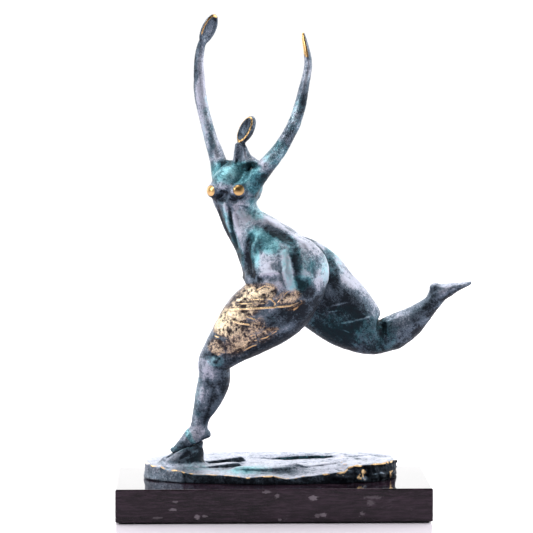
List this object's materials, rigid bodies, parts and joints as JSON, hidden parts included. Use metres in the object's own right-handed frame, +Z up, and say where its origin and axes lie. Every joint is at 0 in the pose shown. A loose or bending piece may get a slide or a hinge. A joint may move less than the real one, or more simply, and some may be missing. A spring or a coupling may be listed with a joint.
{
  "type": "figurine",
  "caption": "Cast metal figurine of a running, faceless dancer with raised arms, on a rocky ground plate bolted to a polished rectangular stone plinth.",
  "frame": {"origin": "centre of the rectangular resting face, on the lower side of the felt", "axes": "+Z up, +X along the plinth's length from the standing foot towards the trailing foot, +Y from the plinth's front to its back"},
  "size_m": [0.2183, 0.095, 0.3038],
  "materials": {
    "bronze_patina": "verdigris and slate patina over hammered cast texture, edges rubbed bright",
    "bronze_rubbed": "patina rubbed back to polished metal, hammered and scratched",
    "dowel_bronze": "drawn, bright",
    "marble": "polished dark stone with small pale flecks",
    "felt": "matt felt",
    "steel": "zinc-plated"
  },
  "bodies": {
    "root": {"marble_plinth": "marble", "base_felt": "felt", "ground_plate": "bronze_patina", "torso_casting": "bronze_patina", "head_casting": "bronze_patina", "right_arm_casting": "bronze_patina", "left_arm_casting": "bronze_patina", "standing_leg_casting": "bronze_rubbed", "trailing_leg_casting": "bronze_patina", "neck_dowel": "dowel_bronze", "right_shoulder_dowel": "dowel_bronze", "left_shoulder_dowel": "dowel_bronze", "standing_hip_dowels": "dowel_bronze", "trailing_hip_dowels": "dowel_bronze", "foot_stud": "steel", "foot_locating_dowel": "dowel_bronze", "foot_washer": "steel", "foot_nut": "steel", "base_bolts": "steel", "base_flat_washers": "steel", "base_spring_washers": "steel"}
  },
  "joints": []
}
